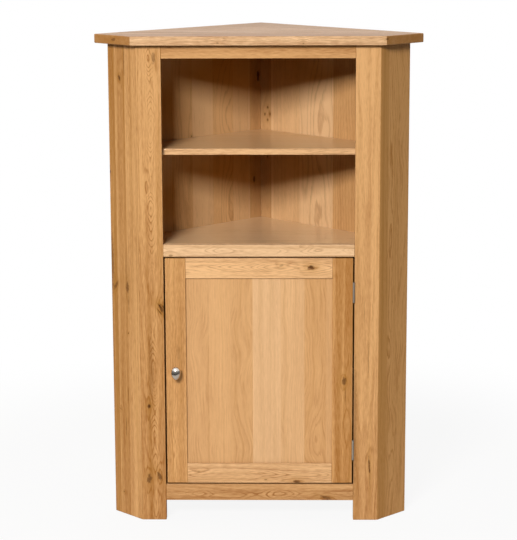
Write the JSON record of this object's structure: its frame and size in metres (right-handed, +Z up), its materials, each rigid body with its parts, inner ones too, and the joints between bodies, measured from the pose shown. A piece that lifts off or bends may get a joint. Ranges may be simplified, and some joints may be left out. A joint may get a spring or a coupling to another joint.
{
  "type": "corner cupboard",
  "caption": "Free-standing oak corner cupboard with open shelves above a panelled door, on stile feet, for a right-angled room corner.",
  "frame": {"origin": "on the floor, at the middle of the overall width and depth", "axes": "+Z up, -Y towards the user who opens the door, +Y into the corner of the room, +X to the user's right"},
  "size_m": [0.7918, 0.4958, 1.2],
  "materials": {
    "oak_frame": "satin lacquer over pale oak",
    "oak_warm": "satin lacquer over darker oak",
    "oak_panel": "satin lacquer over oak staves glued edge to edge",
    "nickel": "satin nickel plate",
    "steel": "zinc plate",
    "catch_plastic": "moulded, fine matt"
  },
  "bodies": {
    "carcass": {"top_board": "oak_frame", "left_front_stile": "oak_frame", "right_front_stile": "oak_frame", "top_rail": "oak_frame", "middle_rail": "oak_frame", "plinth_rail": "oak_frame", "middle_shelf": "oak_frame", "bottom_board": "oak_frame", "upper_shelf": "oak_frame", "cupboard_shelf": "oak_frame", "rear_foot": "oak_frame", "left_side_return": "oak_warm", "right_side_return": "oak_warm", "middle_shelf_left_cleat": "oak_warm", "middle_shelf_right_cleat": "oak_warm", "bottom_left_cleat": "oak_warm", "bottom_right_cleat": "oak_warm", "left_top_block": "oak_warm", "right_top_block": "oak_warm", "catch_block": "oak_warm", "left_back_panel": "oak_panel", "right_back_panel": "oak_panel", "upper_shelf_left_front_peg": "nickel", "upper_shelf_left_back_peg": "nickel", "upper_shelf_right_front_peg": "nickel", "upper_shelf_right_back_peg": "nickel", "cupboard_shelf_left_front_peg": "nickel", "cupboard_shelf_left_back_peg": "nickel", "cupboard_shelf_right_front_peg": "nickel", "cupboard_shelf_right_back_peg": "nickel", "lower_hinge_frame_leaf": "nickel", "upper_hinge_frame_leaf": "nickel", "left_top_block_screw": "steel", "right_top_block_screw": "steel", "catch_magnet": "steel", "catch_screw_1": "steel", "catch_screw_2": "steel", "lower_hinge_pin": "steel", "upper_hinge_pin": "steel", "lower_hinge_frame_screw_1": "steel", "lower_hinge_frame_screw_2": "steel", "upper_hinge_frame_screw_1": "steel", "upper_hinge_frame_screw_2": "steel", "catch_body": "catch_plastic"},
    "door": {"door_top_rail": "oak_frame", "door_bottom_rail": "oak_frame", "door_latch_stile": "oak_warm", "door_hinge_stile": "oak_warm", "door_panel": "oak_panel", "door_knob": "nickel", "lower_hinge_door_leaf": "nickel", "upper_hinge_door_leaf": "nickel", "knob_screw": "steel", "strike_plate": "steel", "strike_screw": "steel", "lower_hinge_door_screw_1": "steel", "lower_hinge_door_screw_2": "steel", "upper_hinge_door_screw_1": "steel", "upper_hinge_door_screw_2": "steel"}
  },
  "joints": [
    {"name": "door_hinge", "type": "hinge", "parent": "carcass", "child": "door", "pos_m": [0.23025, -0.22289, 0.37975], "axis": [0, 0, 1], "range_deg": [0, 175]}
  ]
}
